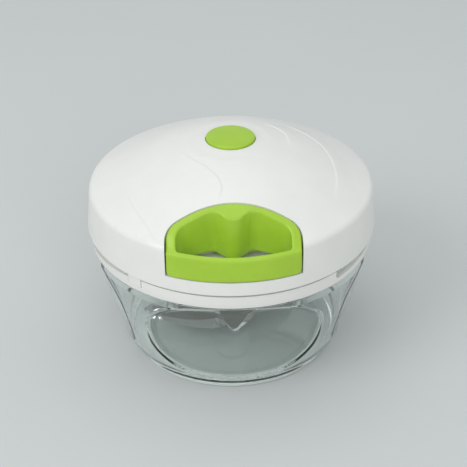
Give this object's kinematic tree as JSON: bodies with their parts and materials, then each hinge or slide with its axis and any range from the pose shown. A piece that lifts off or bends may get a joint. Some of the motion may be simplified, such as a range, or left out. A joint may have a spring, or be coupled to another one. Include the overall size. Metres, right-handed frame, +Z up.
{
  "type": "hand pull vegetable chopper",
  "caption": "Hand-pulled vegetable chopper: clear faceted bowl with swept steel blades on a spindle, white domed lid with a green D-shaped pull handle on a cord and a green centre button.",
  "frame": {"origin": "centre of the foot that it stands on, on the blades' axis", "axes": "+Z up along the blades' axis, -Y towards the side where the pull handle comes out, +X to the right of someone who faces the handle"},
  "size_m": [0.13, 0.13, 0.1028],
  "materials": {
    "clear_plastic": "clear polished plastic",
    "silicone": "milky soft silicone",
    "steel": "ground stainless steel",
    "spring_steel": "blue-grey spring steel",
    "grey_plastic": "satin moulded nylon",
    "white_plastic": "satin gloss moulded plastic",
    "green_plastic": "satin moulded plastic",
    "braided_cord": "braided nylon cord"
  },
  "bodies": {
    "bowl": {"bowl": "clear_plastic", "foot_ring": "silicone", "spindle_pin": "steel"},
    "blades": {"hub_core": "grey_plastic", "spacer_low": "grey_plastic", "spacer_middle": "grey_plastic", "blade_low": "steel", "blade_middle": "steel", "blade_high": "steel", "hub_cap": "grey_plastic"},
    "lid": {"upper_cover": "white_plastic", "lid_base": "white_plastic", "seal_ring": "silicone", "mechanism_frame": "white_plastic", "axle_pin": "steel", "cord_guide": "steel", "pull_cord": "braided_cord", "recoil_spring": "spring_steel", "thrust_washer": "steel", "shaft_bush": "grey_plastic", "shaft_seal": "silicone", "cover_screw_1": "steel", "cover_screw_2": "steel", "cover_screw_3": "steel", "frame_screw_1": "steel", "frame_screw_2": "steel", "frame_screw_3": "steel", "button_spring": "spring_steel"},
    "spool": {"cord_spool": "grey_plastic", "spring_cover": "grey_plastic", "pawl_pin_1": "steel", "pawl_pin_2": "steel"},
    "pawl_1": {"pawl_1": "steel"},
    "pawl_2": {"pawl_2": "steel"},
    "drive": {"drive_shaft": "grey_plastic"},
    "button": {"button": "green_plastic", "vent_plug": "silicone"},
    "handle": {"handle": "green_plastic", "cord_knot": "braided_cord"}
  },
  "joints": [
    {"name": "lid_lift", "type": "slide", "parent": "bowl", "child": "lid", "axis": [0, 0, 1], "range_m": [0, 0.06]},
    {"name": "handle_pull", "type": "slide", "parent": "lid", "child": "handle", "axis": [0, -1, 0], "range_m": [0, 0.3], "stiffness_N_per_m": 15, "springref_m": -0.1},
    {"name": "spool_spin", "type": "hinge", "parent": "lid", "child": "spool", "pos_m": [0, 0, 0.075], "axis": [0, 0, 1], "range_deg": [0, 1150]},
    {"name": "drive_spin", "type": "hinge", "parent": "lid", "child": "drive", "pos_m": [0, 0, 0.06], "axis": [0, 0, 1], "range_deg": [0, 1150]},
    {"name": "blade_spin", "type": "hinge", "parent": "bowl", "child": "blades", "pos_m": [0, 0, 0.03], "axis": [0, 0, 1], "range_deg": [0, 1150]},
    {"name": "pawl_1_swing", "type": "hinge", "parent": "spool", "child": "pawl_1", "pos_m": [0.0155, 0, 0.065], "axis": [0, 0, -1], "range_deg": [0, 15], "stiffness_Nm_per_rad": 0.002, "springref_deg": -5.73},
    {"name": "pawl_2_swing", "type": "hinge", "parent": "spool", "child": "pawl_2", "pos_m": [-0.0155, 0, 0.065], "axis": [0, 0, -1], "range_deg": [0, 15]},
    {"name": "button_press", "type": "slide", "parent": "lid", "child": "button", "axis": [0, 0, -1], "range_m": [0, 0.002], "stiffness_N_per_m": 800, "deforming": ["button_spring"]}
  ],
  "couplings": [
    {"joint": "spool_spin", "follows": "handle_pull", "rad_per_m": 66.667},
    {"joint": "drive_spin", "follows": "handle_pull", "rad_per_m": 66.667},
    {"joint": "blade_spin", "follows": "handle_pull", "rad_per_m": 66.667},
    {"joint": "pawl_2_swing", "follows": "pawl_1_swing", "ratio": 1}
  ]
}
